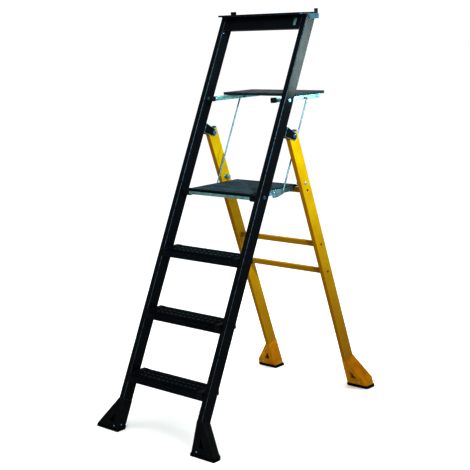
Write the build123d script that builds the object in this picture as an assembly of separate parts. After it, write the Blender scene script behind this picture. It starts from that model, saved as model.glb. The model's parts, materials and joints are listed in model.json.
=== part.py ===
"""Folding step ladder: leaning front frame with three treads, a hinged rear frame,
and a platform and shelf that fold together on a pair of link rods.

Frame: +X to the right, +Y towards the rear frame, +Z up, millimetres. The origin is
on the floor, midway between the tips of the front and the rear soles.
"""
from build123d import *
import os
from math import cos, radians, sin, tan

# ------------------------------------------------------------------ driving dimensions
BASE_LENGTH = 1076.0        # front sole tip to rear sole tip, open
FRAME_WIDTH = 464.0         # outside width of both frames
FRONT_LEAN = 25.3           # degrees from vertical
REAR_LEAN = 18.9

STILE_WIDTH = 25.0          # front frame tubes
STILE_DEPTH = 52.0
STILE_TOP_Z = 1636.0
LEG_WIDTH = 22.0            # rear frame tubes
LEG_DEPTH = 55.0
LEG_ABOVE_PIN = 15.0
TUBE_WALL = 2.0
TUBE_CORNER = 3.0

FIRST_TREAD_Z = 228.5       # top of the lowest tread
TREAD_RISE = 240.0
TREAD_COUNT = 3
TREAD_HEIGHT = 33.0
TREAD_OVERHANG = 80.0       # behind the stiles' front plane, at the tread's top
TREAD_SKIN = 2.5
TREAD_TOP_SKIN = 4.0
TREAD_CHANNELS = 3          # open channels under a tread
NOSING_R = 4.0
END_CAP_LENGTH = 22.0
END_CAP_PROUD = 1.0

TOP_BAR_BOTTOM_Z = 1579.0
TOP_BAR_DEPTH = 10.0
TOP_BAR_WEB = 3.0
CAP_HALF_WIDTH = 230.0      # top cap
CAP_LIP = 38.0              # in front of the stiles
CAP_REAR = 71.0             # behind the stiles' front plane
CAP_PLATE = 7.0
CAP_CORNER_R = 18.0

HINGE_Z = 1153.0            # pin that joins the two frames
HINGE_PIN_R = 6.0
HINGE_BUSH_R = 9.0
HINGE_PLATE = 3.0
HINGE_EAR_R = 15.0
HINGE_WEB_S = (1305.7, 1347.7)    # the bracket's web, along the stile
HINGE_NUT = (18.0, 6.0)     # across flats, height

PLATFORM_PIVOT_Z = 932.0
SHELF_PIVOT_Z = 1299.0
PIVOT_BOLT_R = 4.0
RUNNING_FIT = 0.05          # radial clearance of every pivot that turns
SIDE_GAP = 0.4              # between a turning piece and the tube beside it

PLATFORM_WIDTH = 340.0
PLATFORM_FRONT = -10.0      # along Y from the platform's pivot
PLATFORM_REAR = 291.0
PLATFORM_TOP = 10.0         # above the pivot
PANEL_THICKNESS = 5.0
MAT_THICKNESS = 2.0
BLOCK_INNER_X = 167.5       # moulded blocks at the platform's front corners
RAIL_REAR = 249.0           # along Y from the platform's pivot
RAIL_OUTER_X = 177.0
RAIL_WIDTH = 17.0
RAIL_BOTTOM = -11.0         # from the platform's pivot
SCREW_HOLE_R = 5.5          # round each panel screw
SCREW_SINK = 1.5
BRACKET_PLATE = 2.5

SHELF_WIDTH = 400.0
SHELF_FRONT = 84.0          # along Y from the shelf's pivot
SHELF_REAR = 274.0
SHELF_THICKNESS = 11.0
ARM_X = 167.0
ARM_WIDTH = 12.0
ARM_HEIGHT = 18.0
ARM_TOP_RISE = 10.0         # above the shelf's pivot
ARM_START = -9.0            # along Y from the shelf's pivot
ARM_END = 276.0
ARM_CAP_FRONT = -31.0       # moulded end cap
ARM_BUSH_R = 8.5

ROD_R = 3.0
ROD_X = 183.5
ROD_CRANK = 175.0           # from each pivot back to the rod's end
ROD_DROP = 4.0              # and below it
ROD_BEND_R = 4.0
ROD_HOLE_CLEARANCE = 0.4    # at the upper ends, the linkage's open pivot
ROD_LOW_END_X = 167.0
ROD_HIGH_END_X = 156.5
CLIP_R = 4.2                # push-on washers on the rod's ends
CLIP_THICKNESS = 2.0

CROSSBAR_DEPTH = 20.0
CROSSBAR_HEIGHT = 22.0
CROSSBAR_Z = {"crossbar_lower": 556.0, "crossbar_upper": 681.5, "platform_rest_bar": 923.5}
CATCH_Z = 954.0             # bolt and collar in each leg, above the rest bar
CATCH_BOLT_R = 4.0
CATCH_COLLAR = (10.0, 3.0)  # radius, length
CATCH_STUB = (8.5, 16.0)

# Domed heads: radius and height.
TREAD_RIVET = (4.0, 1.5)
TOP_RIVET = (4.0, 2.0)
CROSSBAR_RIVET = (4.5, 1.5)
FOOT_SCREW = (3.5, 1.5)
PANEL_SCREW = (4.5, 1.3)
BRACKET_BOLT = (5.0, 3.0)
PIVOT_HEAD = (8.0, 4.0)
PIVOT_TAIL = (6.0, 2.5)     # formed inner end of a shelf pivot
HINGE_PIN_HEAD = (10.0, 4.0)
CATCH_HEAD = (6.5, 3.0)

FOOT_SPIGOT = 45.0          # foot inside its tube, along the tube
SPIGOT_CLEARANCE = 0.2
FOOT_TOE_S = 24.0           # along the tube, to where the flare meets the sole's block
FOOT_CORNER_R = 9.0         # plan corners of the toe
FRONT_TOE_SETBACK = 18.0    # front foot behind the stile's front plane, at the floor
FOOT_POCKET = ((4, 43), (36, 43), (5, 83))    # from the tube's outer face, and along the tube
SOLE_HEIGHT = 13.0
SOLE_LIP = 2.0              # sole beyond the foot
FRONT_FLARE_S = 142.7       # along the tube, from the floor to where the foot flares
REAR_FLARE_S = 133.4
FRONT_FLARE_X = 94.0        # how far each foot reaches beyond the tube's outer face
REAR_FLARE_X = 82.0

# ------------------------------------------------------------------ derived positions
SIDES = ((-1, "left"), (1, "right"))
FRONT_COS = cos(radians(FRONT_LEAN))
FRONT_SIN = sin(radians(FRONT_LEAN))
FRONT_TAN = tan(radians(FRONT_LEAN))
REAR_COS = cos(radians(REAR_LEAN))
REAR_SIN = sin(radians(REAR_LEAN))
REAR_TAN = tan(radians(REAR_LEAN))

FRONT_Y = -BASE_LENGTH / 2 - FRONT_TOE_SETBACK + SOLE_LIP
REAR_Y = BASE_LENGTH / 2 - (LEG_DEPTH + SOLE_LIP) / REAR_COS

STILE_X = FRAME_WIDTH / 2 - STILE_WIDTH / 2
STILE_INNER_X = FRAME_WIDTH / 2 - STILE_WIDTH
OUTER_X = FRAME_WIDTH / 2
LEG_X = FRAME_WIDTH / 2 - LEG_WIDTH / 2
LEG_INNER_X = FRAME_WIDTH / 2 - LEG_WIDTH

# A member's own plane: x across, y through its depth from the front face, z up along it.
FRONT = Plane(origin=(0, FRONT_Y, 0), x_dir=(1, 0, 0), z_dir=(0, FRONT_SIN, FRONT_COS))
REAR = Plane(origin=(0, REAR_Y, 0), x_dir=(1, 0, 0), z_dir=(0, -REAR_SIN, REAR_COS))


def stile_face_y(z):
    """Y of the stiles' front face at height z."""
    return FRONT_Y + z * FRONT_TAN


def stile_centre_y(z):
    return stile_face_y(z) + STILE_DEPTH / 2 / FRONT_COS


def leg_centre_y(z):
    return REAR_Y - z * REAR_TAN + LEG_DEPTH / 2 / REAR_COS


PLATFORM_PIVOT = Vector(0, stile_centre_y(PLATFORM_PIVOT_Z), PLATFORM_PIVOT_Z)
SHELF_PIVOT = Vector(0, stile_centre_y(SHELF_PIVOT_Z), SHELF_PIVOT_Z)
HINGE = Vector(0, leg_centre_y(HINGE_Z), HINGE_Z)
ROD_LOW = PLATFORM_PIVOT + Vector(0, ROD_CRANK, -ROD_DROP)
ROD_HIGH = SHELF_PIVOT + Vector(0, ROD_CRANK, -ROD_DROP)
HINGE_S = REAR.to_local_coords(HINGE).Z
LEG_TOP_S = HINGE_S + LEG_ABOVE_PIN
CATCH = Vector(0, leg_centre_y(CATCH_Z), CATCH_Z)
BRACKET_INNER_X = LEG_INNER_X - SIDE_GAP - HINGE_PLATE
BRACKET_OUTER_X = OUTER_X + SIDE_GAP + HINGE_PLATE
CAP_REAR_Y = stile_face_y(STILE_TOP_Z) + CAP_REAR
CAP_TOP_Z = STILE_TOP_Z + CAP_PLATE

PY, PZ = PLATFORM_PIVOT.Y, PLATFORM_PIVOT.Z
PLATFORM_HALF = PLATFORM_WIDTH / 2
PANEL_TOP = PZ + PLATFORM_TOP - MAT_THICKNESS
PANEL_BOTTOM = PANEL_TOP - PANEL_THICKNESS
PANEL_Y = (PY + PLATFORM_FRONT, PY + PLATFORM_REAR)
BLOCK_Y = (PY - 15, PY + 16)
BLOCK_Z = (PZ - 19, PZ + 8)
RAIL_INNER_X = RAIL_OUTER_X - RAIL_WIDTH
PLATFORM_SCREW_X = (-106.0, 106.0)
PLATFORM_SCREW_Y = (PY + 30, PY + 181)

SY, SZ = SHELF_PIVOT.Y, SHELF_PIVOT.Z
ARM_INNER_X = ARM_X - ARM_WIDTH / 2
ARM_OUTER_X = ARM_X + ARM_WIDTH / 2
ARM_TOP = SZ + ARM_TOP_RISE
FOLD_Z = FRONT_FLARE_S * FRONT_COS


# ------------------------------------------------------------------ shared shapes
def span_box(x, y, z):
    """Box between two limits on each axis."""
    size = (x[1] - x[0], y[1] - y[0], z[1] - z[0])
    centre = ((x[0] + x[1]) / 2, (y[0] + y[1]) / 2, (z[0] + z[1]) / 2)
    return Pos(*centre) * Box(*size)


def rod_x(x0, x1, point, radius):
    """Cylinder along X between two positions, centred on a point's Y and Z."""
    low, high = min(x0, x1), max(x0, x1)
    place = Pos((low + high) / 2, point.Y, point.Z) * Rot(0, 90, 0)
    return place * Cylinder(radius, high - low)


def both_sides(shape):
    """A right-hand shape and its mirror image, as separate solids."""
    return Compound(children=[*shape.solids(), *mirror(shape, about=Plane.YZ).solids()])


def on_side(shape, side):
    return shape if side > 0 else mirror(shape, about=Plane.YZ)


def group(shapes):
    return Compound(children=[solid for shape in shapes for solid in shape.solids()])


def member_tube(width, depth, s0, s1):
    """Hollow rectangular tube in a member's own frame, front face on y = 0."""
    outer = RectangleRounded(width, depth, TUBE_CORNER)
    inner = RectangleRounded(width - 2 * TUBE_WALL, depth - 2 * TUBE_WALL, TUBE_CORNER - TUBE_WALL / 2)
    return Pos(0, depth / 2, s0) * extrude(outer - inner, amount=s1 - s0)


def rivet(radius, height):
    """Domed rivet head standing on z = 0."""
    head = Cylinder(radius, height, align=(Align.CENTER, Align.CENTER, Align.MIN))
    return fillet(head.edges().sort_by(Axis.Z)[-1], height * 0.8)


def hex_nut(across, height):
    return extrude(RegularPolygon(across / 2, 6, major_radius=False), amount=height)


def side_plane(x):
    """Plane of constant X: sketch x runs along Y and sketch y runs up."""
    return Plane((x, 0, 0), x_dir=(0, 1, 0), z_dir=(1, 0, 0))


def bar_along_x(profile, half_length, y, z):
    """A profile drawn in Y and Z, extruded to both sides of the middle."""
    place = Plane((0, y, z), x_dir=(0, 1, 0), z_dir=(1, 0, 0))
    return place.location * extrude(profile, amount=half_length, both=True)


def facing_x(shape, x, point, direction):
    """Turn a shape that stands on z = 0 to stand on a plane of constant X."""
    return Pos(x, point.Y, point.Z) * Rot(0, 90 * direction, 0) * shape


# ------------------------------------------------------------------ front frame
def stile_bores():
    """Bolt holes through a right-hand stile."""
    reach = (STILE_INNER_X - 1, OUTER_X + 1)
    return [rod_x(*reach, pivot, PIVOT_BOLT_R) for pivot in (PLATFORM_PIVOT, SHELF_PIVOT)]


def stile():
    beyond_top = (STILE_TOP_Z + STILE_DEPTH) / FRONT_COS
    tube = Pos(STILE_X, 0, 0) * member_tube(STILE_WIDTH, STILE_DEPTH, FRONT_FLARE_S, beyond_top)
    tube = FRONT.location * tube
    keep = span_box((0, OUTER_X + 1), (-BASE_LENGTH, BASE_LENGTH), (0, STILE_TOP_Z))
    tube = tube & keep
    for bore in stile_bores():
        tube -= bore
    return tube


def tread_plan(top_z):
    """Front face, rear face and underside of a tread with its top at top_z."""
    front = stile_face_y(top_z - TREAD_HEIGHT)
    rear = stile_face_y(top_z) + TREAD_OVERHANG
    return front, rear, top_z - TREAD_HEIGHT


def tread(top_z):
    """Open-bottomed extrusion with a rounded nosing and two webs underneath."""
    front, rear, bottom = tread_plan(top_z)
    half = STILE_INNER_X - END_CAP_LENGTH
    body = span_box((-half, half), (front, rear), (bottom, top_z))
    top_edges = body.edges().filter_by(Axis.X).group_by(Axis.Z)[-1]
    body = fillet(top_edges, NOSING_R)
    channel = (rear - front - (TREAD_CHANNELS + 1) * TREAD_SKIN) / TREAD_CHANNELS
    for i in range(TREAD_CHANNELS):
        y0 = front + TREAD_SKIN + i * (channel + TREAD_SKIN)
        body -= span_box((-half - 1, half + 1), (y0, y0 + channel), (bottom - 1, top_z - TREAD_TOP_SKIN))
    return body


def tread_end_cap(top_z):
    """Moulded block that closes a tread's right-hand end against the stile."""
    front, rear, bottom = tread_plan(top_z)
    inner = STILE_INNER_X - END_CAP_LENGTH
    cap = span_box((inner, STILE_INNER_X), (front - END_CAP_PROUD, rear + END_CAP_PROUD),
                   (bottom - END_CAP_PROUD, top_z + END_CAP_PROUD))
    return fillet(cap.edges().filter_by(Axis.X), NOSING_R)


def top_bar():
    """Shallow channel between the stiles, open to the back."""
    s0 = TOP_BAR_BOTTOM_Z / FRONT_COS
    s1 = (STILE_TOP_Z + TOP_BAR_DEPTH) / FRONT_COS
    channel = span_box((-STILE_INNER_X, STILE_INNER_X), (0, TOP_BAR_DEPTH), (s0, s1))
    hollow = span_box((-STILE_INNER_X - 1, STILE_INNER_X + 1), (TOP_BAR_WEB, TOP_BAR_DEPTH + 1),
                      (s0 + TOP_BAR_WEB, s1 + 1))
    keep = span_box((-OUTER_X, OUTER_X), (-BASE_LENGTH, BASE_LENGTH), (0, STILE_TOP_Z))
    return (FRONT.location * (channel - hollow)) & keep


def top_cap():
    """Folded plate over the frame's top, with a front lip and a finger at each rear corner."""
    front = stile_face_y(STILE_TOP_Z) - CAP_LIP
    plate = span_box((-CAP_HALF_WIDTH, CAP_HALF_WIDTH), (front, CAP_REAR_Y), (STILE_TOP_Z, CAP_TOP_Z))
    plate = fillet(plate.edges().filter_by(Axis.Z).group_by(Axis.Y)[0], CAP_CORNER_R)
    finger_reach, finger_top, leaf = 17.0, CAP_TOP_Z + 13.5, 2.5
    side_leaf = span_box((CAP_HALF_WIDTH - leaf, CAP_HALF_WIDTH),
                         (CAP_REAR_Y - finger_reach, CAP_REAR_Y), (CAP_TOP_Z, finger_top))
    rear_leaf = span_box((CAP_HALF_WIDTH - finger_reach, CAP_HALF_WIDTH),
                         (CAP_REAR_Y - leaf, CAP_REAR_Y), (CAP_TOP_Z, finger_top))
    finger = side_leaf + rear_leaf
    return plate + finger + mirror(finger, about=Plane.YZ)


def cap_cheek():
    """Plate on a stile's outer side that holds the top cap down, right-hand side."""
    thickness, drop, slant = 2.5, 20.0, 14.0
    front = stile_face_y(STILE_TOP_Z)
    outline = Polyline((front, STILE_TOP_Z), (CAP_REAR_Y, STILE_TOP_Z),
                       (CAP_REAR_Y, STILE_TOP_Z - drop), (front + slant, STILE_TOP_Z - drop), close=True)
    face = side_plane(OUTER_X) * make_face(outline)
    return extrude(face, amount=thickness, dir=(1, 0, 0))


def top_bar_tab():
    """Bright tab on the front of the top bar, near its right-hand end."""
    thickness, width, height, inset = 2.0, 12.0, 35.0, 23.0
    s_mid = (TOP_BAR_BOTTOM_Z + STILE_TOP_Z) / 2 / FRONT_COS
    outer = STILE_INNER_X - inset
    tab = span_box((outer - width, outer), (-thickness, 0), (s_mid - height / 2, s_mid + height / 2))
    return FRONT.location * fillet(tab.edges().filter_by(Axis.Y), 2)


def hinge_bracket():
    """Folded bracket behind a stile: a web and two ears that hold the hinge pin."""
    inner, outer = BRACKET_INNER_X, BRACKET_OUTER_X
    depths = (STILE_DEPTH, STILE_DEPTH + HINGE_PLATE)
    web = FRONT.location * span_box((inner, outer), depths, HINGE_WEB_S)
    corners = [FRONT.from_local_coords(Vector(0, depths[0], s)) for s in HINGE_WEB_S]
    corners += [FRONT.from_local_coords(Vector(0, depths[1], s)) for s in reversed(HINGE_WEB_S)]
    root = make_face(Polyline(*[(p.Y, p.Z) for p in corners], close=True))
    eye = Pos(HINGE.Y, HINGE.Z) * Circle(HINGE_EAR_R)
    outline = make_hull(root.edges() + eye.edges())
    ears = []
    for x in (inner, outer - HINGE_PLATE):
        face = side_plane(x) * outline
        ears.append(extrude(face, amount=HINGE_PLATE, dir=(1, 0, 0)))
    return web + ears[0] + ears[1] - rod_x(inner - 1, outer + 1, HINGE, HINGE_PIN_R)


def hinge_pin():
    beyond_nut = BRACKET_INNER_X - HINGE_NUT[1] - 2
    head = facing_x(rivet(*HINGE_PIN_HEAD), BRACKET_OUTER_X, HINGE, 1)
    return rod_x(beyond_nut, BRACKET_OUTER_X, HINGE, HINGE_PIN_R) + head


def hinge_nut():
    nut = facing_x(hex_nut(*HINGE_NUT), BRACKET_INNER_X, HINGE, -1)
    return nut - rod_x(0, OUTER_X, HINGE, HINGE_PIN_R)


def pivot_bolt(pivot, inner_x):
    """Bolt through a stile, head outside, shank reaching in to inner_x."""
    head = facing_x(rivet(*PIVOT_HEAD), OUTER_X, pivot, 1)
    return rod_x(inner_x, OUTER_X, pivot, PIVOT_BOLT_R) + head


def shelf_pivot():
    """Pivot through a stile, bush and arm, formed over on the arm's inner side."""
    inner_x = ARM_INNER_X - SIDE_GAP
    return pivot_bolt(SHELF_PIVOT, inner_x) + facing_x(rivet(*PIVOT_TAIL), inner_x, SHELF_PIVOT, -1)


def tread_rivets():
    heads = []
    for i in range(TREAD_COUNT):
        centre_z = FIRST_TREAD_Z + i * TREAD_RISE - TREAD_HEIGHT / 2
        for from_face in (14.0, 34.0):
            spot = Vector(0, stile_face_y(centre_z) + from_face, centre_z)
            heads.append(facing_x(rivet(*TREAD_RIVET), OUTER_X, spot, 1))
    return heads


def top_rivet():
    """Rivet in the stile's inner side, just below the top bar."""
    behind_face, below = 9.0, 6.0
    spot = FRONT.from_local_coords(Vector(0, behind_face, (TOP_BAR_BOTTOM_Z - below) / FRONT_COS))
    return facing_x(rivet(*TOP_RIVET), STILE_INNER_X, spot, -1)


# ------------------------------------------------------------------ feet, for both frames
def foot_body(width, depth, flare_s, flare_x, grow):
    """Right-hand foot in its member's own frame, x from the tube's centre, running on below the floor."""
    inner, outer, toe = -width / 2 - grow, width / 2 + grow, width / 2 + flare_x + grow
    under_floor = -60
    points = [(inner, flare_s), (outer, flare_s), (toe, FOOT_TOE_S), (toe, under_floor), (inner, under_floor)]
    face = Plane((0, -grow, 0), x_dir=(1, 0, 0), z_dir=(0, -1, 0)) * make_face(Polyline(*points, close=True))
    body = extrude(face, amount=depth + 2 * grow, dir=(0, 1, 0))
    toe_edges = body.edges().filter_by(Axis.Z).group_by(Axis.X)[-1]
    return fillet(toe_edges, FOOT_CORNER_R + grow)


def foot_pocket(width, depth):
    """Three-cornered recess beside the tube, open to the front."""
    corners = [(width / 2 + x, s) for x, s in FOOT_POCKET]
    before_face = -10
    outline = make_face(Polyline(*corners, close=True))
    face = Plane((0, before_face, 0), x_dir=(1, 0, 0), z_dir=(0, -1, 0)) * outline
    return extrude(face, amount=depth / 2 - before_face, dir=(0, 1, 0))


def before_toe(setback, grow):
    """Everything in front of a front foot's face, which is steeper than the stile's."""
    fold = (stile_face_y(FOLD_Z) - grow, FOLD_Z)
    at_floor = FRONT_Y + setback - grow
    below = FOLD_Z / 2
    run_on = at_floor - (fold[0] - at_floor) * below / FOLD_Z
    ahead = FRONT_Y - BASE_LENGTH
    outline = Polyline(fold, (run_on, -below), (ahead, -below), (ahead, FOLD_Z), close=True)
    face = side_plane(0) * make_face(outline)
    return extrude(face, amount=FRAME_WIDTH, dir=(1, 0, 0))


def foot_spigot(width, depth, flare_s):
    """Plug that holds a foot in the end of its tube."""
    less = 2 * (TUBE_WALL + SPIGOT_CLEARANCE)
    section = RectangleRounded(width - less, depth - less, TUBE_CORNER)
    return Pos(0, depth / 2, flare_s) * extrude(section, amount=FOOT_SPIGOT)


def foot(plane, centre_x, width, depth, flare_s, flare_x, setback):
    """Moulded foot, flush with its tube, that flares outwards and has a pocket in its front."""
    body = foot_body(width, depth, flare_s, flare_x, 0) - foot_pocket(width, depth)
    body += foot_spigot(width, depth, flare_s)
    body = plane.location * Pos(centre_x, 0, 0) * body
    if setback > 0:
        body -= before_toe(setback, 0)
    keep = span_box((0, 2 * FRAME_WIDTH), (-BASE_LENGTH, BASE_LENGTH), (SOLE_HEIGHT, BASE_LENGTH))
    return body & keep


def sole(plane, centre_x, width, depth, flare_s, flare_x, setback):
    """Rubber sole under a foot, a little larger all round."""
    body = foot_body(width, depth, flare_s, flare_x, SOLE_LIP)
    body = plane.location * Pos(centre_x, 0, 0) * body
    if setback > 0:
        body -= before_toe(setback, SOLE_LIP)
    keep = span_box((0, 2 * FRAME_WIDTH), (-BASE_LENGTH, BASE_LENGTH), (0, SOLE_HEIGHT))
    return body & keep


FRONT_FOOT = (FRONT, STILE_X, STILE_WIDTH, STILE_DEPTH, FRONT_FLARE_S, FRONT_FLARE_X, FRONT_TOE_SETBACK)
REAR_FOOT = (REAR, LEG_X, LEG_WIDTH, LEG_DEPTH, REAR_FLARE_S, REAR_FLARE_X, 0)


def front_foot_screws():
    """One screw in a front foot's inner side and one in its front, right-hand side."""
    side_z, side_depth, front_z, from_inner = 24.0, 30.0, 19.0, 25.0
    side_spot = Vector(0, stile_face_y(side_z) + side_depth, side_z)
    in_side = facing_x(rivet(*FOOT_SCREW), STILE_INNER_X, side_spot, -1)
    toe_y = FRONT_Y + FRONT_TOE_SETBACK
    climb = stile_face_y(FOLD_Z) - toe_y
    toe_plane = Plane(origin=(STILE_INNER_X + from_inner, toe_y + climb * front_z / FOLD_Z, front_z),
                      x_dir=(1, 0, 0), z_dir=(0, -FOLD_Z, climb))
    return [in_side, toe_plane.location * rivet(*FOOT_SCREW)]


def rear_foot_screw():
    """Screw in the front of a rear foot, near its toe, right-hand side."""
    from_tube, s = 46.0, 28.0
    spot = Pos(LEG_X + LEG_WIDTH / 2 + from_tube, 0, s) * Rot(90, 0, 0)
    return REAR.location * spot * rivet(*FOOT_SCREW)


# ------------------------------------------------------------------ rear frame
def leg():
    tube = REAR.location * Pos(LEG_X, 0, 0) * member_tube(LEG_WIDTH, LEG_DEPTH, REAR_FLARE_S, LEG_TOP_S)
    tube -= rod_x(LEG_INNER_X - 1, OUTER_X + 1, HINGE, HINGE_BUSH_R)
    return tube - rod_x(LEG_INNER_X - 1, OUTER_X + 1, CATCH, CATCH_BOLT_R)


def leg_top_cap():
    thickness = 3.0
    flange = extrude(RectangleRounded(LEG_WIDTH, LEG_DEPTH, TUBE_CORNER), amount=thickness)
    return REAR.location * Pos(LEG_X, LEG_DEPTH / 2, LEG_TOP_S) * flange


def hinge_bush():
    bush = rod_x(LEG_INNER_X, OUTER_X, HINGE, HINGE_BUSH_R)
    return bush - rod_x(LEG_INNER_X - 1, OUTER_X + 1, HINGE, HINGE_PIN_R + RUNNING_FIT)


def crossbar(z):
    """Rectangular tube between the legs."""
    corner = 4.0
    outer = RectangleRounded(CROSSBAR_DEPTH, CROSSBAR_HEIGHT, corner)
    inner = offset(outer, -TUBE_WALL)
    return bar_along_x(outer - inner, LEG_INNER_X, leg_centre_y(z), z)


def crossbar_rivets():
    heads = []
    for z in CROSSBAR_Z.values():
        heads.append(facing_x(rivet(*CROSSBAR_RIVET), OUTER_X, Vector(0, leg_centre_y(z), z), 1))
    return heads


def catch_pin():
    """Bolt through a leg above the platform's rest bar, with a collar on the inner side."""
    head = facing_x(rivet(*CATCH_HEAD), OUTER_X, CATCH, 1)
    collar_x = LEG_INNER_X - CATCH_COLLAR[1]
    shank = rod_x(collar_x, OUTER_X, CATCH, CATCH_BOLT_R)
    collar = rod_x(collar_x, LEG_INNER_X, CATCH, CATCH_COLLAR[0])
    stub = rod_x(collar_x - CATCH_STUB[1], collar_x, CATCH, CATCH_STUB[0])
    return head + shank + collar + stub


# ------------------------------------------------------------------ platform
def platform_panel():
    """Board with a lip folded down along its front edge."""
    lip_thickness, lip_bottom = 4.0, PZ + 0.5
    board = span_box((-PLATFORM_HALF, PLATFORM_HALF), PANEL_Y, (PANEL_BOTTOM, PANEL_TOP))
    half = BLOCK_INNER_X - 0.5
    lip = span_box((-half, half), (PANEL_Y[0] - lip_thickness, PANEL_Y[0]), (lip_bottom, PANEL_TOP))
    return board + lip


def platform_screw_spots():
    """X and Y of the screws in the platform's board."""
    return [(x, y) for x in PLATFORM_SCREW_X for y in PLATFORM_SCREW_Y]


def platform_mat():
    """Mat on the board, with a hole round each screw."""
    inset, corner = 3.0, 5.0
    half = PLATFORM_HALF - inset
    run = (PANEL_Y[0] + 1, PANEL_Y[1] - inset)
    mat = span_box((-half, half), run, (PANEL_TOP, PANEL_TOP + MAT_THICKNESS))
    mat = fillet(mat.edges().filter_by(Axis.Z), corner)
    for x, y in platform_screw_spots():
        mat -= Pos(x, y, PANEL_TOP) * Cylinder(SCREW_HOLE_R, 3 * MAT_THICKNESS)
    return mat


def platform_screws():
    return [Pos(x, y, PANEL_TOP) * rivet(*PANEL_SCREW) for x, y in platform_screw_spots()]


def front_bar():
    """Bright tube along the platform's front edge, between the end blocks."""
    depth, height, corner, wall = 18.0, 14.0, 3.0, 1.5
    centre_y = PY - 5
    outer = RectangleRounded(depth, height, corner)
    return bar_along_x(outer - offset(outer, -wall), BLOCK_INNER_X, centre_y, PZ - height / 2)


def side_rail():
    """Right-hand rail: an upstand beside the board and two flanges under it."""
    skin = 2.5
    bottom = PZ + RAIL_BOTTOM
    run = (BLOCK_Y[1], PY + RAIL_REAR)
    across = (RAIL_INNER_X, RAIL_OUTER_X)
    upstand = span_box((RAIL_OUTER_X - skin, RAIL_OUTER_X), run, (bottom, PANEL_TOP))
    upper = span_box(across, run, (PANEL_BOTTOM - skin, PANEL_BOTTOM))
    lower = span_box(across, run, (bottom, bottom + skin))
    rail = upstand + upper + lower
    return rail - rod_x(0, ROD_X, ROD_LOW, ROD_R + RUNNING_FIT)


def rail_end_cap():
    length = 6.0
    run = (PY + RAIL_REAR, PY + RAIL_REAR + length)
    return span_box((RAIL_INNER_X, RAIL_OUTER_X), run, (PZ + RAIL_BOTTOM - 1, PANEL_BOTTOM))


def end_block():
    """Moulded block that carries the platform on its pivot bolt, right-hand side."""
    corner = 5.0
    block = span_box((BLOCK_INNER_X, STILE_INNER_X - SIDE_GAP), BLOCK_Y, BLOCK_Z)
    block = fillet(block.edges().filter_by(Axis.X), corner)
    block -= span_box((0, PLATFORM_HALF), (PANEL_Y[0], BLOCK_Y[1] + 1), (PANEL_BOTTOM, BLOCK_Z[1] + 1))
    return block - rod_x(0, OUTER_X, PLATFORM_PIVOT, PIVOT_BOLT_R + RUNNING_FIT)


def rod_bracket():
    """Plate on the outside of a rail that takes the rod's lower end, right-hand side."""
    front, rear = PY + 112, PY + ROD_CRANK + 11
    top, step, bottom = PZ + 5, PZ - 12, PZ - 23
    corner = 4.0
    outline = Polyline((front, top), (rear, top), (rear, step), (front + 34, bottom), (front + 4, bottom),
                       close=True)
    plate = fillet(make_face(outline).vertices(), corner)
    face = side_plane(RAIL_OUTER_X) * plate
    body = extrude(face, amount=BRACKET_PLATE, dir=(1, 0, 0))
    return body - rod_x(0, ROD_X, ROD_LOW, ROD_R + RUNNING_FIT)


def rod_bracket_bolts():
    """Two bolts in the bracket and a nut on the rail in front of it, right-hand side."""
    bolt_y, nut_y, nut = PY + 124, PY + 97, (13.0, 7.0)
    heads = []
    for drop in (3.0, 15.0):
        spot = Vector(0, bolt_y, PZ - drop)
        heads.append(facing_x(rivet(*BRACKET_BOLT), RAIL_OUTER_X + BRACKET_PLATE, spot, 1))
    heads.append(facing_x(hex_nut(*nut), RAIL_OUTER_X, Vector(0, nut_y, PZ - 4), 1))
    return heads


# ------------------------------------------------------------------ shelf
def shelf_screw_spots():
    """X and Y of the screws that hold the panel down on the arms."""
    from_edge = 22.0
    front, rear = SY + SHELF_FRONT + from_edge, SY + SHELF_REAR - from_edge
    return [(x, y) for x in (-ARM_X, ARM_X) for y in (front, rear)]


def shelf_panel():
    """Panel with a recess round each screw."""
    half, corner = SHELF_WIDTH / 2, 4.0
    panel = span_box((-half, half), (SY + SHELF_FRONT, SY + SHELF_REAR), (ARM_TOP, ARM_TOP + SHELF_THICKNESS))
    panel = fillet(panel.edges().filter_by(Axis.Z), corner)
    for x, y in shelf_screw_spots():
        panel -= Pos(x, y, ARM_TOP + SHELF_THICKNESS) * Cylinder(SCREW_HOLE_R, 2 * SCREW_SINK)
    return panel


def shelf_arm():
    """Right-hand arm: a rectangular tube under the panel."""
    corner, wall = 2.0, 1.5
    outer = RectangleRounded(ARM_WIDTH, ARM_HEIGHT, corner)
    tube = extrude(outer - offset(outer, -wall), amount=(ARM_END - ARM_START) / 2, both=True)
    tube = Pos(ARM_X, SY + (ARM_START + ARM_END) / 2, ARM_TOP - ARM_HEIGHT / 2) * Rot(90, 0, 0) * tube
    tube -= rod_x(0, ROD_X, ROD_HIGH, ROD_R + ROD_HOLE_CLEARANCE)
    return tube - rod_x(0, OUTER_X, SHELF_PIVOT, PIVOT_BOLT_R + RUNNING_FIT)


def arm_end_cap():
    """Moulded cap on an arm's front end, right-hand side."""
    proud, corner = 1.0, 4.0
    cap = span_box((ARM_INNER_X - proud, ARM_OUTER_X + proud), (SY + ARM_CAP_FRONT, SY + ARM_START),
                   (ARM_TOP - ARM_HEIGHT - proud, ARM_TOP + proud))
    return fillet(cap.edges().filter_by(Axis.X).group_by(Axis.Y)[0], corner)


def arm_bush():
    """Spacer between an arm and the stile, right-hand side."""
    bush = rod_x(ARM_OUTER_X, STILE_INNER_X - SIDE_GAP, SHELF_PIVOT, ARM_BUSH_R)
    return bush - rod_x(0, OUTER_X, SHELF_PIVOT, PIVOT_BOLT_R + RUNNING_FIT)


def shelf_cross_bar():
    side, before_rear = 12.0, 18.0
    rear = SY + SHELF_REAR - before_rear
    return span_box((-ARM_INNER_X, ARM_INNER_X), (rear - side, rear), (ARM_TOP - side, ARM_TOP))


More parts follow.
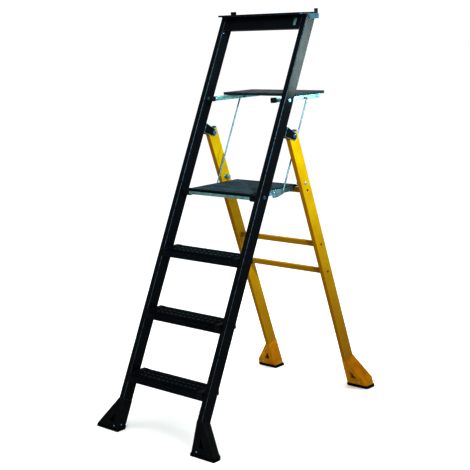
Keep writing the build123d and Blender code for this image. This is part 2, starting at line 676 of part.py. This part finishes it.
def shelf_screws():
    top = ARM_TOP + SHELF_THICKNESS - SCREW_SINK
    return [Pos(x, y, top) * rivet(*PANEL_SCREW) for x, y in shelf_screw_spots()]


# ------------------------------------------------------------------ link rods
def link_rod():
    """Round rod with both ends bent inwards, right-hand side."""
    path = FilletPolyline((ROD_LOW_END_X, ROD_LOW.Y, ROD_LOW.Z), (ROD_X, ROD_LOW.Y, ROD_LOW.Z),
                          (ROD_X, ROD_HIGH.Y, ROD_HIGH.Z), (ROD_HIGH_END_X, ROD_HIGH.Y, ROD_HIGH.Z),
                          radius=ROD_BEND_R)
    section = Plane(origin=path @ 0, z_dir=path % 0) * Circle(ROD_R)
    return sweep(section, path=path)


def rod_clips():
    """Push-on washers that keep the rod's ends in their holes, right-hand side."""
    clips = []
    for end_x, from_end, point in ((ROD_LOW_END_X, 2, ROD_LOW), (ROD_HIGH_END_X, 1, ROD_HIGH)):
        x = end_x + from_end
        washer = rod_x(x, x + CLIP_THICKNESS, point, CLIP_R)
        clips.append(washer - rod_x(0, ROD_X, point, ROD_R))
    return clips


# ------------------------------------------------------------------ nodes
def build_nodes():
    nodes = {}
    for side, name in SIDES:
        nodes[f"stile_{name}"] = on_side(stile(), side)
        nodes[f"front_foot_{name}"] = on_side(foot(*FRONT_FOOT), side)
        nodes[f"front_sole_{name}"] = on_side(sole(*FRONT_FOOT), side)
        nodes[f"hinge_bracket_{name}"] = on_side(hinge_bracket(), side)
        nodes[f"rear_leg_{name}"] = on_side(leg(), side)
        nodes[f"rear_foot_{name}"] = on_side(foot(*REAR_FOOT), side)
        nodes[f"rear_sole_{name}"] = on_side(sole(*REAR_FOOT), side)
        nodes[f"platform_rail_{name}"] = on_side(side_rail(), side)
        nodes[f"platform_end_block_{name}"] = on_side(end_block(), side)
        nodes[f"rod_bracket_{name}"] = on_side(rod_bracket(), side)
        nodes[f"shelf_arm_{name}"] = on_side(shelf_arm(), side)
        nodes[f"shelf_arm_cap_{name}"] = on_side(arm_end_cap(), side)
        nodes[f"link_rod_{name}"] = on_side(link_rod(), side)

    tread_tops = [FIRST_TREAD_Z + i * TREAD_RISE for i in range(TREAD_COUNT)]
    for i, top_z in enumerate(tread_tops):
        nodes[f"tread_{i + 1}"] = tread(top_z)
    nodes["tread_end_caps"] = both_sides(group([tread_end_cap(z) for z in tread_tops]))
    nodes["tread_rivets"] = both_sides(group(tread_rivets()))
    nodes["top_bar"] = top_bar()
    nodes["top_bar_tab"] = top_bar_tab()
    nodes["top_cap"] = top_cap()
    nodes["top_cap_cheeks"] = both_sides(cap_cheek())
    nodes["stile_top_rivets"] = both_sides(top_rivet())
    nodes["hinge_pins"] = both_sides(hinge_pin())
    nodes["hinge_nuts"] = both_sides(hinge_nut())
    nodes["platform_pivot_bolts"] = both_sides(pivot_bolt(PLATFORM_PIVOT, PLATFORM_HALF + 1.5))
    nodes["shelf_pivot_bolts"] = both_sides(shelf_pivot())
    nodes["front_foot_screws"] = both_sides(group(front_foot_screws()))

    for name, z in CROSSBAR_Z.items():
        nodes[name] = crossbar(z)
    nodes["crossbar_rivets"] = both_sides(group(crossbar_rivets()))
    nodes["leg_top_caps"] = both_sides(leg_top_cap())
    nodes["hinge_bushes"] = both_sides(hinge_bush())
    nodes["catch_pins"] = both_sides(catch_pin())
    nodes["rear_foot_screws"] = both_sides(rear_foot_screw())

    nodes["platform_panel"] = platform_panel()
    nodes["platform_mat"] = platform_mat()
    nodes["platform_screws"] = group(platform_screws())
    nodes["platform_front_bar"] = front_bar()
    nodes["platform_rail_caps"] = both_sides(rail_end_cap())
    nodes["rod_bracket_bolts"] = both_sides(group(rod_bracket_bolts()))

    nodes["shelf_panel"] = shelf_panel()
    nodes["shelf_cross_bar"] = shelf_cross_bar()
    nodes["shelf_pivot_bushes"] = both_sides(arm_bush())
    nodes["shelf_screws"] = group(shelf_screws())
    nodes["rod_clips"] = both_sides(group(rod_clips()))
    return nodes


os.makedirs("parts", exist_ok=True)
for node_name, shape in build_nodes().items():
    export_step(shape, f"parts/{node_name}.step")
print("hinge", HINGE, "platform", PLATFORM_PIVOT, "shelf", SHELF_PIVOT, "rod", ROD_LOW)
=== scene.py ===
"""Looks of the folding step ladder: materials, tread studs and beads, floor, light and camera.

Metres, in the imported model's own frame: +X right, +Y to the rear frame, +Z up.
"""
import json
from math import cos, radians, sin

import bmesh
import bpy
from mathutils import Matrix, Vector


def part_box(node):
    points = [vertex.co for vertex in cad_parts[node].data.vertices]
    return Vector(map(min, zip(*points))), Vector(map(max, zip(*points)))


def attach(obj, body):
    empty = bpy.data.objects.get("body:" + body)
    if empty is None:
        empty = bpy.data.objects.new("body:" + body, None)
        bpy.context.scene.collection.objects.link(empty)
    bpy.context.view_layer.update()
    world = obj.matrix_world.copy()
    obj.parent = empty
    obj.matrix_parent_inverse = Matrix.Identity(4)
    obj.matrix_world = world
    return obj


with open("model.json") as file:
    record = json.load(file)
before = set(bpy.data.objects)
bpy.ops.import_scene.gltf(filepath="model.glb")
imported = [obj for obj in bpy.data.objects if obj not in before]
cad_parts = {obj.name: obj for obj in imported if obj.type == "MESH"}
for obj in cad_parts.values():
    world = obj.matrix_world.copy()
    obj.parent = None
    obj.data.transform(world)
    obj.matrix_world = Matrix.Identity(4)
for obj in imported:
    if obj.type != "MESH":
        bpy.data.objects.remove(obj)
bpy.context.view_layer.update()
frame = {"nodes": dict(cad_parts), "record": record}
nodes = frame["nodes"]

MM = 0.001

# ------------------------------------------------------------------ colours, linear
BLACK = (0.0014, 0.0020, 0.0027)
BLACK_CLOUD = (0.0024, 0.0035, 0.0048)
# lighter blue-grey for edges and rounded corners: partly rubbed paint, partly painted highlight lines
BLACK_WEAR_AND_HIGHLIGHT = (0.050, 0.085, 0.120)
# painted highlight: bright blue lines along the hinge brackets' edges
BRACKET_PAINTED_HIGHLIGHT = (0.22, 0.38, 0.48)
# painted highlight: the studs a little lighter than the tread, as if catching light
STUD_PAINTED_HIGHLIGHT = (0.008, 0.013, 0.014)
STUD_CLOUD_PAINTED_HIGHLIGHT = (0.018, 0.027, 0.029)
YELLOW = (0.275, 0.188, 0.0003)
YELLOW_DEEP = (0.220, 0.126, 0.0002)
YELLOW_WORN = (0.42, 0.28, 0.006)
# painted shade: the yellow's darker tone low down and on the faces that look forward
YELLOW_PAINTED_SHADE = (0.190, 0.086, 0.0002)
FOOT_YELLOW = (0.33, 0.160, 0.0004)
FOOT_DEEP = (0.24, 0.088, 0.0003)
FOOT_SCUFF = (0.38, 0.20, 0.01)
PLASTIC_BLACK = (0.0022, 0.0028, 0.0032)
PLASTIC_CLOUD = (0.0036, 0.0048, 0.0054)
PLASTIC_SCUFF = (0.018, 0.024, 0.028)
GREY_PLASTIC = (0.022, 0.055, 0.072)
GREY_DARK = (0.012, 0.032, 0.045)
GREY_SCUFF = (0.06, 0.12, 0.15)
RUBBER = (0.0022, 0.0022, 0.0026)
RUBBER_DUST = (0.010, 0.011, 0.012)
BOARD = (0.004, 0.009, 0.011)
BOARD_WORN = (0.016, 0.030, 0.036)
MAT = (0.0065, 0.0150, 0.0215)
MAT_HIGH = (0.0210, 0.0400, 0.0500)
ZINC = (0.14, 0.27, 0.27)
ZINC_DARK = (0.035, 0.085, 0.095)
ARM_ZINC = (0.15, 0.38, 0.37)
ARM_ZINC_DARK = (0.07, 0.19, 0.18)
ROD_BRIGHT = (0.070, 0.140, 0.170)
ROD_DARK = (0.025, 0.060, 0.090)
FASTENER = (0.17, 0.36, 0.50)
FASTENER_DARK = (0.03, 0.09, 0.18)
PIN_STEEL = (0.050, 0.140, 0.270)
PIN_DARK = (0.008, 0.016, 0.028)
FLOOR = (0.96, 0.96, 0.96)
FLOOR_CLOUD = (0.95, 0.95, 0.955)
WHITE = (1.0, 1.0, 1.0)
COOL = (0.80, 1.0, 0.97)            # lights on the ladder's head

# Scales of the plate's streaks on X, Y and Z: few along the drawing direction, many across it.
STREAKS_ALONG_X = (25.0, 700.0, 700.0)
STREAKS_ALONG_Y = (700.0, 25.0, 700.0)
STREAKS_ALONG_Z = (900.0, 900.0, 20.0)
EVEN_GRAIN = (400.0, 400.0, 400.0)
MAT_STREAKS = (12.0, 40.0, 40.0)


# ------------------------------------------------------------------ node helpers
class Shader:
    """A Principled material, with short calls for the nodes that all of these materials share.

    The scales of noise and cells are in features per metre.
    """

    BEVEL_SAMPLES = 6

    def __init__(self, name, metallic=0.0, specular=0.5):
        self.material = bpy.data.materials.new(name)
        self.material.use_nodes = True
        self.tree = self.material.node_tree
        self.principled = self.tree.nodes["Principled BSDF"]
        self.principled.inputs["Metallic"].default_value = metallic
        self.principled.inputs["Specular IOR Level"].default_value = specular
        self.place = self.add("ShaderNodeTexCoord").outputs["Object"]

    def add(self, kind, **settings):
        node = self.tree.nodes.new(kind)
        for key, value in settings.items():
            setattr(node, key, value)
        return node

    def link(self, source, target):
        self.tree.links.new(source, target)

    def stretched(self, scale):
        """Object coordinates scaled by a different amount on each axis."""
        node = self.add("ShaderNodeMapping")
        node.inputs["Scale"].default_value = scale
        self.link(self.place, node.inputs["Vector"])
        return node.outputs["Vector"]

    def noise(self, scale, detail=3.0, roughness=0.55, place=None):
        node = self.add("ShaderNodeTexNoise")
        node.inputs["Scale"].default_value = scale
        node.inputs["Detail"].default_value = detail
        node.inputs["Roughness"].default_value = roughness
        self.link(place or self.place, node.inputs["Vector"])
        return node.outputs["Fac"]

    def cells(self, scale):
        node = self.add("ShaderNodeTexVoronoi")
        node.inputs["Scale"].default_value = scale
        self.link(self.place, node.inputs["Vector"])
        return node.outputs["Distance"]

    def remap(self, value, low, high, to_low=0.0, to_high=1.0):
        node = self.add("ShaderNodeMapRange")
        for key, number in (("From Min", low), ("From Max", high), ("To Min", to_low), ("To Max", to_high)):
            node.inputs[key].default_value = number
        self.link(value, node.inputs["Value"])
        return node.outputs["Result"]

    def math(self, operation, first, second):
        node = self.add("ShaderNodeMath", operation=operation)
        for socket, value in zip(node.inputs, (first, second)):
            if isinstance(value, (int, float)):
                socket.default_value = value
            else:
                self.link(value, socket)
        return node.outputs["Value"]

    def mix(self, amount, first, second):
        """Colour that goes from first to second as amount goes from 0 to 1."""
        node = self.add("ShaderNodeMix", data_type="RGBA")
        self.link(amount, node.inputs["Factor"])
        for key, colour in (("A", first), ("B", second)):
            socket = [s for s in node.inputs if s.name == key and s.type == "RGBA"][0]
            if isinstance(colour, tuple):
                socket.default_value = (*colour, 1.0)
            else:
                self.link(colour, socket)
        return [s for s in node.outputs if s.type == "RGBA"][0]

    def axis(self, vector, letter):
        """One component of a vector."""
        node = self.add("ShaderNodeSeparateXYZ")
        self.link(vector, node.inputs["Vector"])
        return node.outputs[letter]

    def facing(self):
        """The surface's own normal."""
        return self.add("ShaderNodeNewGeometry").outputs["Normal"]

    def rounded(self, radius):
        """The normal, bent as if every sharp edge were rounded."""
        bevel = self.add("ShaderNodeBevel", samples=self.BEVEL_SAMPLES)
        bevel.inputs["Radius"].default_value = radius
        return bevel.outputs["Normal"]

    def edges(self, radius, low=0.01, high=0.12):
        """1 on sharp edges, 0 on flat faces."""
        dot = self.add("ShaderNodeVectorMath", operation="DOT_PRODUCT")
        self.link(self.rounded(radius), dot.inputs[0])
        self.link(self.facing(), dot.inputs[1])
        return self.remap(self.math("SUBTRACT", 1.0, dot.outputs["Value"]), low, high)

    def corners(self, low=0.08, high=0.22):
        """1 on the rounded corners of a tube that runs in the YZ plane, 0 on its faces: where the paints
        draw painted highlight lines.
        """
        side = self.axis(self.facing(), "X")
        across = self.math("MULTIPLY", side, side)
        along = self.math("SUBTRACT", 1.0, across)
        return self.remap(self.math("MULTIPLY", across, along), low, high)

    def height(self, high, low):
        """0 at the first height and above, 1 at the second and below."""
        return self.remap(self.axis(self.place, "Z"), high, low)

    def forward_faces(self, low=-0.4, high=-0.8):
        """1 on faces that look towards the climber, 0 on the sides and the back."""
        return self.remap(self.axis(self.facing(), "Y"), low, high)

    def colour(self, socket):
        self.link(socket, self.principled.inputs["Base Color"])

    def roughness(self, pattern, low, high):
        """Roughness that wanders from low to high with a noise pattern."""
        socket = self.remap(pattern, 0.3, 0.7, low, high)
        self.link(socket, self.principled.inputs["Roughness"])

    def bump(self, height, depth, soften=0.0):
        """Relief of a depth in metres, over an edge rounding of a radius in metres."""
        node = self.add("ShaderNodeBump")
        node.inputs["Distance"].default_value = depth
        self.link(height, node.inputs["Height"])
        if soften:
            self.link(self.rounded(soften), node.inputs["Normal"])
        self.link(node.outputs["Normal"], self.principled.inputs["Normal"])


# ------------------------------------------------------------------ materials
# Painted shade on the yellow paint: darker from this height down and on the forward faces, where less light
# falls.
PAINTED_SHADE_FROM = 1.1                # height where the deeper tone of a shaded paint starts
PAINTED_SHADE_FULL = -0.1               # height where it would be complete


def paint(name, base, deep, lighter_tone, rough, wear_and_highlight=0.6, specular=0.018, edge=1.5 * MM, shade=None):
    """Powder coat: a fine orange peel, clouded colour, and a lighter colour along the edges and rounded
    corners, partly rubbed paint and partly painted highlight lines.

    With a shade colour, the colour goes over to it towards the floor and on the faces that look forward:
    painted shade.
    """
    s = Shader(name, specular=specular)
    clouds = s.remap(s.noise(9.0, 4.0), 0.3, 0.7)
    body = s.mix(clouds, base, deep)
    if shade:
        # Painted shade: darker towards the floor and on the faces that look forward.
        body = s.mix(s.math("MAXIMUM", s.height(PAINTED_SHADE_FROM, PAINTED_SHADE_FULL), s.forward_faces()), body, shade)
    # Edges and rounded corners go lighter: partly rubbed paint, partly painted highlight lines.
    sharp = s.math("MAXIMUM", s.edges(edge), s.corners())
    rub_and_highlight = s.math("MULTIPLY", sharp, s.remap(s.noise(90.0, 5.0, 0.7), 0.38, 0.58, 0.15, wear_and_highlight))
    s.colour(s.mix(rub_and_highlight, body, lighter_tone))
    s.roughness(s.noise(45.0, 4.0), rough - 0.03, rough + 0.05)
    peel = s.math("ADD", s.noise(900.0, 2.0), s.math("MULTIPLY", s.noise(240.0, 2.0), 0.7))
    s.bump(peel, 0.10 * MM, soften=0.8 * MM)
    return s.material


# Painted highlight lines along the stiles' edges and rounded corners, in the lighter edge colour.
def black_paint():
    return paint("black_paint", BLACK, BLACK_CLOUD, BLACK_WEAR_AND_HIGHLIGHT, rough=0.17, wear_and_highlight=0.9)


# The lighter edge colour also paints faint highlight lines on the treads' edges and beads.
def tread_paint():
    return paint("tread_paint", BLACK, BLACK_CLOUD, BLACK_WEAR_AND_HIGHLIGHT, rough=0.6, wear_and_highlight=0.35, specular=0.003)


# Painted highlight: wide bright lines along the hinge brackets' folded edges.
def bracket_paint():
    return paint("bracket_paint", BLACK, BLACK_CLOUD, BRACKET_PAINTED_HIGHLIGHT, rough=0.25, wear_and_highlight=1.0, edge=2.5 * MM)


# Painted highlight: lighter studs stand in for the light they catch on the dark tread.
def stud_paint():
    return paint("stud_paint", STUD_PAINTED_HIGHLIGHT, STUD_CLOUD_PAINTED_HIGHLIGHT, BLACK_WEAR_AND_HIGHLIGHT, rough=0.5, wear_and_highlight=0.9, specular=0.01)


def yellow_paint():
    return paint("yellow_paint", YELLOW, YELLOW_DEEP, YELLOW_WORN, rough=0.40, wear_and_highlight=0.35, specular=0.02,
                 shade=YELLOW_PAINTED_SHADE)


def moulded(name, base, deep, scuffed, rough):
    """Moulded plastic: spark-eroded grain, faint flow clouds, and scuffs on the corners."""
    s = Shader(name, specular=0.02)
    body = s.mix(s.remap(s.noise(18.0, 3.0), 0.35, 0.65), base, deep)
    scuffs = s.math("MULTIPLY", s.edges(2.0 * MM), s.remap(s.noise(140.0, 4.0), 0.4, 0.6))
    s.colour(s.mix(scuffs, body, scuffed))
    s.roughness(s.noise(60.0, 4.0), rough - 0.07, rough + 0.07)
    grain = s.math("ADD", s.cells(1400.0), s.noise(500.0, 3.0))
    s.bump(grain, 0.12 * MM, soften=1.2 * MM)
    return s.material


def black_plastic():
    return moulded("black_plastic", PLASTIC_BLACK, PLASTIC_CLOUD, PLASTIC_SCUFF, rough=0.5)


def yellow_plastic():
    return moulded("yellow_plastic", FOOT_YELLOW, FOOT_DEEP, FOOT_SCUFF, rough=0.52)


def grey_plastic():
    return moulded("grey_plastic", GREY_PLASTIC, GREY_DARK, GREY_SCUFF, rough=0.45)


def rubber():
    """Sole rubber: matte, with a dusting in its pores."""
    s = Shader("rubber", specular=0.01)
    pores = s.cells(900.0)
    dust = s.math("MULTIPLY", s.remap(s.noise(60.0, 5.0, 0.7), 0.5, 0.75), s.remap(pores, 0.2, 0.6))
    s.colour(s.mix(dust, RUBBER, RUBBER_DUST))
    s.roughness(s.noise(80.0, 3.0), 0.78, 0.92)
    s.bump(s.math("ADD", pores, s.noise(300.0, 4.0)), 0.15 * MM, soften=1.0 * MM)
    return s.material


def board():
    """Coated board: a fine leather grain pressed into a dark film, rubbed lighter on top."""
    s = Shader("board", specular=0.02)
    rubbed = s.math("MULTIPLY", s.remap(s.noise(14.0, 5.0, 0.6), 0.35, 0.75), 0.5)
    rim = s.math("MULTIPLY", s.edges(1.5 * MM), 0.4)
    s.colour(s.mix(s.math("MAXIMUM", rubbed, rim), BOARD, BOARD_WORN))
    s.roughness(s.noise(30.0, 4.0), 0.34, 0.5)
    s.bump(s.math("ADD", s.cells(520.0), s.noise(180.0, 3.0)), 0.12 * MM, soften=1.0 * MM)
    return s.material


def mat_rubber():
    """Mat rubber: pebbled, rubbed greyer in streaks across the platform, with a dark rim."""
    s = Shader("mat_rubber", specular=0.02)
    lighter_tone = s.remap(s.noise(1.0, 6.0, 0.7, place=s.stretched(MAT_STREAKS)), 0.38, 0.62)
    rim = s.edges(7.0 * MM, 0.0, 0.04)
    s.colour(s.mix(rim, s.mix(lighter_tone, MAT, MAT_HIGH), RUBBER))
    s.roughness(s.noise(70.0, 3.0), 0.5, 0.68)
    s.bump(s.math("ADD", s.cells(650.0), s.noise(420.0, 3.0)), 0.25 * MM, soften=0.3 * MM)
    return s.material


def plated(name, bright, dark, rough, streaks):
    """Zinc plate: streaks along the drawing direction over darker passivation clouds."""
    s = Shader(name, metallic=0.85, specular=0.5)
    clouds = s.remap(s.noise(30.0, 4.0, 0.6), 0.35, 0.7)
    s.colour(s.mix(clouds, bright, dark))
    lines = s.noise(1.0, 4.0, 0.65, place=s.stretched(streaks))
    s.roughness(lines, rough - 0.08, rough + 0.12)
    s.bump(s.math("ADD", lines, s.math("MULTIPLY", s.noise(700.0, 2.0), 0.4)), 0.05 * MM, soften=0.6 * MM)
    return s.material


def zinc():
    return plated("zinc", ZINC, ZINC_DARK, rough=0.34, streaks=STREAKS_ALONG_Y)


def zinc_arms():
    return plated("zinc_arms", ARM_ZINC, ARM_ZINC_DARK, rough=0.3, streaks=STREAKS_ALONG_Y)


def zinc_across():
    return plated("zinc_across", ZINC, ZINC_DARK, rough=0.34, streaks=STREAKS_ALONG_X)


def zinc_upright():
    return plated("zinc_upright", ROD_BRIGHT, ROD_DARK, rough=0.42, streaks=STREAKS_ALONG_Z)


def fastener():
    return plated("fastener", FASTENER, FASTENER_DARK, rough=0.3, streaks=EVEN_GRAIN)


def pin_steel():
    return plated("pin_steel", PIN_STEEL, PIN_DARK, rough=0.25, streaks=EVEN_GRAIN)


def floor_paper():
    """Seamless pale backdrop with a barely visible tooth."""
    s = Shader("floor_paper", specular=0.1)
    s.colour(s.mix(s.remap(s.noise(3.0, 3.0), 0.3, 0.7), FLOOR, FLOOR_CLOUD))
    s.roughness(s.noise(12.0, 3.0), 0.85, 0.95)
    s.bump(s.noise(350.0, 3.0), 0.05 * MM)
    return s.material


# One material for each slot of the record, then the nodes that differ from their slot.
MATERIALS = {
    "black_paint": black_paint(),
    "yellow_paint": yellow_paint(),
    "black_plastic": black_plastic(),
    "yellow_plastic": yellow_plastic(),
    "grey_plastic": grey_plastic(),
    "rubber": rubber(),
    "board": board(),
    "zinc": zinc(),
    "fastener": fastener(),
}
MAT_RUBBER = mat_rubber()
ACROSS_ZINC = zinc_across()
ROD_ZINC = zinc_upright()
ARMS_ZINC = zinc_arms()
PIN = pin_steel()
TREAD_PAINT = tread_paint()
BRACKET_PAINT = bracket_paint()
STUD_PAINT = stud_paint()
OWN_MATERIAL = {
    "platform_front_bar": ACROSS_ZINC,
    "shelf_cross_bar": ACROSS_ZINC,
    "link_rod_left": ROD_ZINC,
    "link_rod_right": ROD_ZINC,
    "platform_mat": MAT_RUBBER,
    "shelf_arm_left": ARMS_ZINC,
    "shelf_arm_right": ARMS_ZINC,
    "shelf_pivot_bushes": ARMS_ZINC,
    "hinge_bracket_left": BRACKET_PAINT,
    "hinge_bracket_right": BRACKET_PAINT,
    "hinge_pins": PIN,
    "platform_pivot_bolts": PIN,
    "stile_top_rivets": PIN,
    "tread_rivets": TREAD_PAINT,
    "crossbar_rivets": TREAD_PAINT,
    "platform_panel": TREAD_PAINT,
    "tread_1": TREAD_PAINT,
    "tread_2": TREAD_PAINT,
    "tread_3": TREAD_PAINT,
    "top_cap_cheeks": MATERIALS["grey_plastic"],
}


def dress_nodes():
    """Give each CAD node its own material, or else that of its slot in the record."""
    for part in frame["record"]["subparts"]:
        node = nodes[part["node"]]
        material = OWN_MATERIAL.get(part["node"], MATERIALS[part["material_slot"]])
        for slot in node.material_slots:
            slot.material = material


# ------------------------------------------------------------------ tread studs and beads
STUD_ROWS = 3
STUD_PITCH = 25.0 * MM
STUD_LENGTH = 15.0 * MM
STUD_WIDTH = 7.5 * MM
STUD_HEIGHT = 1.8 * MM
STUD_SUNK = 0.2 * MM                # below the tread's top
STUD_SIDES = 8
STUD_FOOT = 0.5                     # reach from the centre at the foot, as a share of the size
STUD_CROWN = 0.28                   # and at the flat top
STUD_EXTRA_TAPER = 0.2              # of the width, taken off the length at the top
STUD_FRONT_MARGIN = 22.0 * MM
STUD_REAR_MARGIN = 14.0 * MM
STUD_END_MARGIN = 14.0 * MM

BEADS = 5
BEAD_PITCH = 4.5 * MM
BEAD_FIRST = 4.0 * MM               # above the tread's underside
BEAD_REACH = 0.9 * MM
BEAD_THICKNESS = 2.2 * MM
BEAD_INSET = 0.5 * MM               # from the tread's ends
BEAD_SUNK = 0.05 * MM
BEAD_FACETS = 6


def make_piece(name, mesh, material, body):
    """Turn a bmesh into an object that rides on a body."""
    data = bpy.data.meshes.new(name)
    mesh.to_mesh(data)
    mesh.free()
    piece = bpy.data.objects.new(name, data)
    bpy.context.scene.collection.objects.link(piece)
    data.materials.append(material)
    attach(piece, body)
    return piece


def stud_ring(mesh, x, y, z, share):
    """One level of a stud: an octagon with its flats on the stud's outline."""
    half_side = radians(180 / STUD_SIDES)
    reach_x = STUD_LENGTH * share - (STUD_FOOT - share) * STUD_WIDTH * STUD_EXTRA_TAPER
    reach_y = STUD_WIDTH * share
    ring = []
    for step in range(STUD_SIDES):
        corner = half_side * (1 + 2 * step)
        ring.append(mesh.verts.new((x + reach_x * cos(corner) / cos(half_side),
                                    y + reach_y * sin(corner) / cos(half_side),
                                    z)))
    return ring


def add_stud(mesh, x, y, z):
    """Raised lozenge with sloping sides and a flat top, long in X, closed underneath."""
    levels = ((STUD_FOOT, -STUD_SUNK), (STUD_FOOT, 0.0), (STUD_CROWN, STUD_HEIGHT))
    rings = [stud_ring(mesh, x, y, z + level, share) for share, level in levels]
    for low, high in zip(rings, rings[1:]):
        for step in range(STUD_SIDES):
            after = (step + 1) % STUD_SIDES
            mesh.faces.new((low[step], low[after], high[after], high[step]))
    mesh.faces.new(list(reversed(rings[0])))
    mesh.faces.new(rings[-1])


def tread_studs(number):
    """Staggered rows of raised studs on a tread's top."""
    low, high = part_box(f"tread_{number}")
    mesh = bmesh.new()
    half = (high.x - low.x) / 2 - STUD_END_MARGIN
    front, rear = low.y + STUD_FRONT_MARGIN, high.y - STUD_REAR_MARGIN
    count = int(half / STUD_PITCH) + 1
    for row in range(STUD_ROWS):
        y = front + (rear - front) * row / (STUD_ROWS - 1)
        shift = STUD_PITCH / 2 if row % 2 else 0.0
        for step in range(-count, count + 1):
            x = step * STUD_PITCH + shift
            if abs(x) < half:
                add_stud(mesh, x, y, high.z)
    return make_piece(f"tread_{number}_studs", mesh, STUD_PAINT, "front_frame")


def add_bead(mesh, low, high, y, z):
    """Half-round bead along X, from low to high, on a face that looks towards -Y."""
    profile = []
    for step in range(BEAD_FACETS + 1):
        turn = radians(180 * step / BEAD_FACETS)
        profile.append((y - BEAD_REACH * sin(turn), z + BEAD_THICKNESS / 2 * cos(turn)))
    ends = []
    for x in (low, high):
        ends.append([mesh.verts.new((x, *point)) for point in profile])
    for left, right in zip(zip(ends[0], ends[0][1:]), zip(ends[1], ends[1][1:])):
        mesh.faces.new((left[0], left[1], right[1], right[0]))
    mesh.faces.new(ends[0])
    mesh.faces.new(list(reversed(ends[1])))
    mesh.faces.new((ends[0][0], ends[1][0], ends[1][-1], ends[0][-1]))


def tread_ribs(number):
    """Horizontal beads across a tread's front face."""
    low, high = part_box(f"tread_{number}")
    mesh = bmesh.new()
    for step in range(BEADS):
        z = low.z + BEAD_FIRST + step * BEAD_PITCH
        add_bead(mesh, low.x + BEAD_INSET, high.x - BEAD_INSET, low.y + BEAD_SUNK, z)
    bmesh.ops.recalc_face_normals(mesh, faces=mesh.faces)
    return make_piece(f"tread_{number}_ribs", mesh, TREAD_PAINT, "front_frame")


# ------------------------------------------------------------------ floor, light, camera
FLOOR_HALF = 60.0                   # far enough that its end meets the white background

CAMERA_PLACE = Vector((2.9797, -3.3052, 1.6079))
CAMERA_YAW = radians(42.104)        # left of straight along +Y
CAMERA_PITCH = radians(-10.978)
CAMERA_ROLL = radians(-2.187)
LENS_PER_FRAME = 2.31803            # focal length over the frame's width


def make_floor():
    mesh = bmesh.new()
    bmesh.ops.create_grid(mesh, x_segments=2, y_segments=2, size=FLOOR_HALF)
    data = bpy.data.meshes.new("floor")
    mesh.to_mesh(data)
    mesh.free()
    floor = bpy.data.objects.new("floor", data)
    bpy.context.scene.collection.objects.link(floor)
    data.materials.append(floor_paper())


def hang_light(name, kind, place, target, power, colour):
    """A lamp at a place that looks at a target. Returns its light, for its size to be set."""
    light = bpy.data.lights.new(name, kind)
    light.energy = power
    light.color = colour
    lamp = bpy.data.objects.new(name, light)
    bpy.context.scene.collection.objects.link(lamp)
    lamp.location = place
    lamp.rotation_euler = (Vector(target) - Vector(place)).to_track_quat("-Z", "Y").to_euler()
    return light


def area_light(name, place, target, size, power, colour=WHITE):
    light = hang_light(name, "AREA", place, target, power, colour)
    light.shape = "RECTANGLE"
    light.size, light.size_y = size


def spot_light(name, place, target, angle, radius, power, colour):
    light = hang_light(name, "SPOT", place, target, power, colour)
    light.spot_size = radians(angle)
    light.spot_blend = 1.0
    light.shadow_soft_size = radius


def make_lights():
    area_light("key", place=(3.6, -0.6, 3.4), target=(0.0, 0.0, 0.9), size=(1.4, 1.4), power=35)
    area_light("fill", place=(-2.6, -3.6, 2.4), target=(0.0, 0.0, 0.8), size=(2.0, 2.0), power=15)
    area_light("top", place=(0.0, 0.4, 4.2), target=(0.0, 0.0, 0.0), size=(2.4, 2.4), power=50)
    area_light("rim", place=(0.6, 0.63, 1.46), target=(0.232, 0.15, 1.47), size=(0.14, 0.36), power=13,
               colour=COOL)
    area_light("low", place=(3.2, -1.8, 0.8), target=(-0.25, 0.25, 0.72), size=(0.9, 0.9), power=25)
    spot_light("head", place=(2.2, -1.2, 2.5), target=(0.2, 0.05, 1.35), angle=36, radius=0.15, power=900,
               colour=COOL)


def make_background():
    """White all round, and a view with deeper darks than Blender's own."""
    world = bpy.data.worlds.new("studio")
    world.use_nodes = True
    background = world.node_tree.nodes["Background"]
    background.inputs["Color"].default_value = (*WHITE, 1.0)
    background.inputs["Strength"].default_value = 1.05
    bpy.context.scene.world = world
    view = bpy.context.scene.view_settings
    view.view_transform = "Standard"
    view.gamma = 0.8


def make_camera():
    """Camera aimed by yaw and pitch, then rolled about its own line of sight."""
    ahead = Vector((-sin(CAMERA_YAW), cos(CAMERA_YAW), 0.0))
    forward = cos(CAMERA_PITCH) * ahead + Vector((0.0, 0.0, sin(CAMERA_PITCH)))
    level = Vector((cos(CAMERA_YAW), sin(CAMERA_YAW), 0.0))
    up = level.cross(forward)
    right = cos(CAMERA_ROLL) * level + sin(CAMERA_ROLL) * up
    top = cos(CAMERA_ROLL) * up - sin(CAMERA_ROLL) * level
    camera = bpy.data.cameras.new("camera")
    camera.lens = LENS_PER_FRAME * camera.sensor_width
    eye = bpy.data.objects.new("camera", camera)
    bpy.context.scene.collection.objects.link(eye)
    turn = Matrix((right, top, -forward)).transposed().to_4x4()
    eye.matrix_world = Matrix.Translation(CAMERA_PLACE) @ turn
    bpy.context.scene.camera = eye


# ------------------------------------------------------------------ the scene
make_camera()
make_lights()
make_background()
make_floor()
dress_nodes()
for tread_number in (1, 2, 3):
    tread_studs(tread_number)
    tread_ribs(tread_number)
